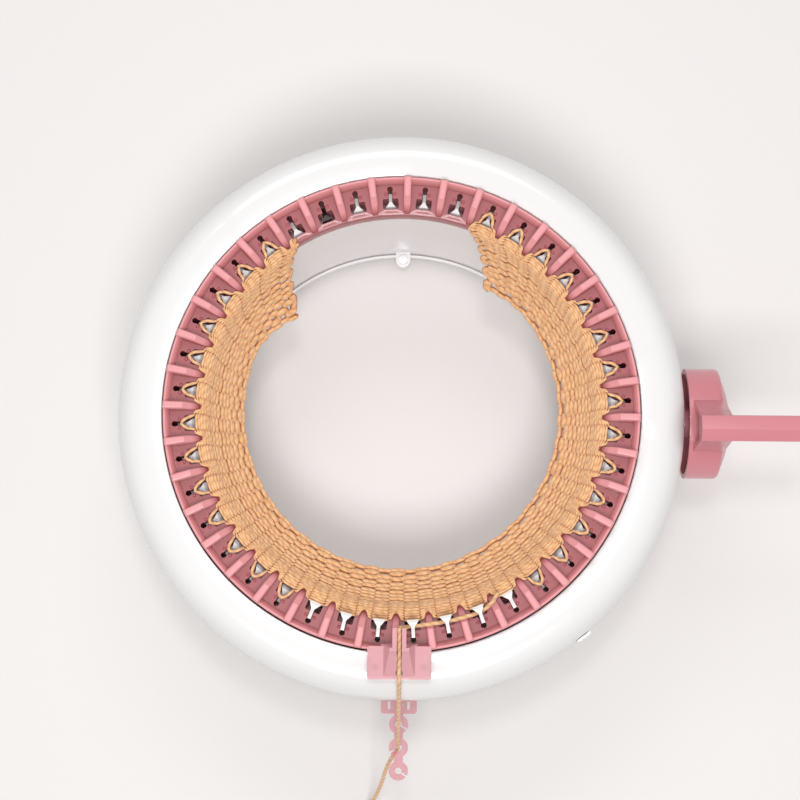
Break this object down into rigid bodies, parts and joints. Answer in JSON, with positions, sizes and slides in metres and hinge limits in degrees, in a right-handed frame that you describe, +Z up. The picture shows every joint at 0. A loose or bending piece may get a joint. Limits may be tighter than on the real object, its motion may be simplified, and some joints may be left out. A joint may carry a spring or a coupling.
{
  "type": "circular knitting machine",
  "caption": "Hand-cranked circular knitting machine: a turning crown of hooked needles in a round white housing, with a flat panel being knitted and its feed yarn.",
  "frame": {"origin": "on the table, where the axis of the barrel and throat meets it", "axes": "+Z up along the barrel axis; +X towards the crank; -Y is the front, with the yarn feeder"},
  "size_m": [0.362, 0.398, 0.1392],
  "materials": {
    "housing_white": "smooth semi-gloss white moulding",
    "inner_white": "plain off-white moulding",
    "pink_plastic": "smooth dusty-pink moulding",
    "clear_pink": "translucent pink moulding",
    "needle_white": "glossy white moulding",
    "marker_black": "glossy black moulding",
    "foot_rubber": "matt rubber",
    "screw_steel": "zinc-plated steel",
    "yarn": "caramel two-ply yarn",
    "knitting": "caramel knitted fabric, wrong side inwards"
  },
  "bodies": {
    "housing": {"outer_housing": "housing_white", "base_plate": "inner_white", "inner_tube": "housing_white", "track_ring": "inner_white", "cam_ring": "inner_white", "pinion_cradle": "inner_white", "wall_bush": "inner_white", "finger_guide": "inner_white", "yarn_feeder": "clear_pink", "tension_bracket": "clear_pink", "tension_arm": "clear_pink", "rubber_feet": "foot_rubber", "base_screws": "screw_steel", "tab_screws": "screw_steel", "cam_screws": "screw_steel", "cradle_screws": "screw_steel", "feed_yarn": "yarn", "yarn_coil": "yarn"},
    "barrel": {"barrel_body": "pink_plastic", "needle_crown": "pink_plastic", "ring_gear": "inner_white", "needle_band": "screw_steel", "crown_screws": "screw_steel", "gear_screws": "screw_steel", "needles_lowered": "needle_white", "knitted_panel": "knitting", "laid_yarn": "yarn"},
    "crank": {"crank_shaft": "screw_steel", "drive_pinion": "inner_white", "crank_handle": "pink_plastic", "handle_screw": "screw_steel"},
    "selector": {"selector_knob": "inner_white", "selector_slide": "inner_white"},
    "finger": {"stop_finger": "inner_white", "finger_pin": "screw_steel"},
    "marker": {"needle_marker": "marker_black"},
    "raised_1": {"needle_raised_1": "needle_white"},
    "raised_2": {"needle_raised_2": "needle_white"},
    "raised_3": {"needle_raised_3": "needle_white"},
    "raised_4": {"needle_raised_4": "needle_white"},
    "raised_5": {"needle_raised_5": "needle_white"},
    "rising": {"needle_rising": "needle_white"},
    "falling": {"needle_falling": "needle_white"}
  },
  "joints": [
    {"name": "barrel_turn", "type": "hinge", "parent": "housing", "child": "barrel", "pos_m": [0, 0, 0.096], "axis": [0, 0, 1], "range_deg": [-180, 165]},
    {"name": "crank_turn", "type": "hinge", "parent": "housing", "child": "crank", "pos_m": [0.15, 0, 0.076], "axis": [1, 0, 0], "range_deg": [-1650, 1800]},
    {"name": "selector_slide", "type": "slide", "parent": "housing", "child": "selector", "axis": [-0.7923, -0.6101, 0], "range_m": [0, 0.012]},
    {"name": "finger_slide", "type": "slide", "parent": "housing", "child": "finger", "axis": [0.6101, -0.7923, 0], "range_m": [0, 0.004]},
    {"name": "marker_lift", "type": "slide", "parent": "barrel", "child": "marker", "axis": [0, 0, 1], "range_m": [0, 0.018]},
    {"name": "raised_1_lift", "type": "slide", "parent": "barrel", "child": "raised_1", "axis": [0, 0, 1], "range_m": [-0.018, 0], "deforming": ["laid_yarn"]},
    {"name": "raised_2_lift", "type": "slide", "parent": "barrel", "child": "raised_2", "axis": [0, 0, 1], "range_m": [-0.018, 0], "deforming": ["laid_yarn"]},
    {"name": "raised_3_lift", "type": "slide", "parent": "barrel", "child": "raised_3", "axis": [0, 0, 1], "range_m": [-0.018, 0], "deforming": ["laid_yarn"]},
    {"name": "raised_4_lift", "type": "slide", "parent": "barrel", "child": "raised_4", "axis": [0, 0, 1], "range_m": [-0.018, 0]},
    {"name": "raised_5_lift", "type": "slide", "parent": "barrel", "child": "raised_5", "axis": [0, 0, 1], "range_m": [-0.018, 0]},
    {"name": "rising_lift", "type": "slide", "parent": "barrel", "child": "rising", "axis": [0, 0, 1], "range_m": [-0.009, 0.009]},
    {"name": "falling_lift", "type": "slide", "parent": "barrel", "child": "falling", "axis": [0, 0, 1], "range_m": [-0.009, 0.009]}
  ],
  "couplings": [
    {"joint": "crank_turn", "follows": "barrel_turn", "ratio": -10},
    {"joint": "finger_slide", "follows": "selector_slide", "ratio": 0.33333}
  ]
}
